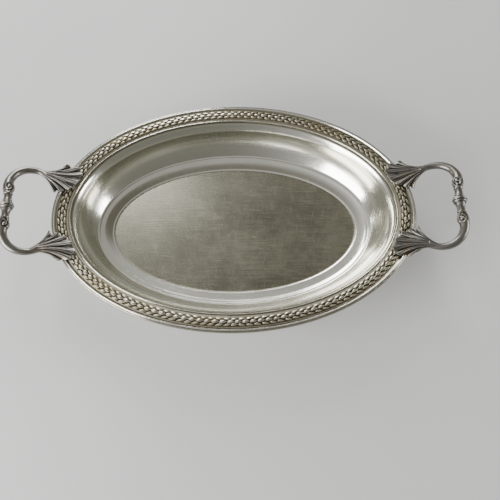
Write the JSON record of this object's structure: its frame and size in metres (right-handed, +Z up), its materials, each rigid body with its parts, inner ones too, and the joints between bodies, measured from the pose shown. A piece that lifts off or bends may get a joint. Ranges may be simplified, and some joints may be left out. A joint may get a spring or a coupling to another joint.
{
  "type": "serving tray",
  "caption": "Oval silver-plated serving dish with a deep well, a flat rim with a laurel-leaf border and a cast scroll loop handle on leaf mounts at each end.",
  "frame": {"origin": "middle of the dish's underside, on the table", "axes": "+X along the dish's length towards its right handle, +Y across it towards its back, +Z up"},
  "size_m": [0.3888, 0.2168, 0.0553],
  "materials": {
    "silver_plate": "polished silver plate, softly worn, with fine scratches and a light tarnish",
    "tarnished_border": "cast border with olive-gold tarnish in its recesses",
    "oxidised_casting": "dark oxidised silver plate, rubbed bright on its edges"
  },
  "bodies": {
    "root": {"dish_body": "silver_plate", "outer_edge_wire": "silver_plate", "inner_bead_wire": "silver_plate", "laurel_band_right": "tarnished_border", "laurel_band_back": "tarnished_border", "laurel_band_left": "tarnished_border", "laurel_band_front": "tarnished_border", "left_handle_knop": "oxidised_casting", "left_handle_arm_back": "oxidised_casting", "left_leaf_mount_back": "oxidised_casting", "left_handle_arm_front": "oxidised_casting", "left_leaf_mount_front": "oxidised_casting", "right_handle_knop": "oxidised_casting", "right_handle_arm_back": "oxidised_casting", "right_leaf_mount_back": "oxidised_casting", "right_handle_arm_front": "oxidised_casting", "right_leaf_mount_front": "oxidised_casting", "left_rivet_back": "silver_plate", "left_rivet_front": "silver_plate", "right_rivet_back": "silver_plate", "right_rivet_front": "silver_plate"}
  },
  "joints": []
}
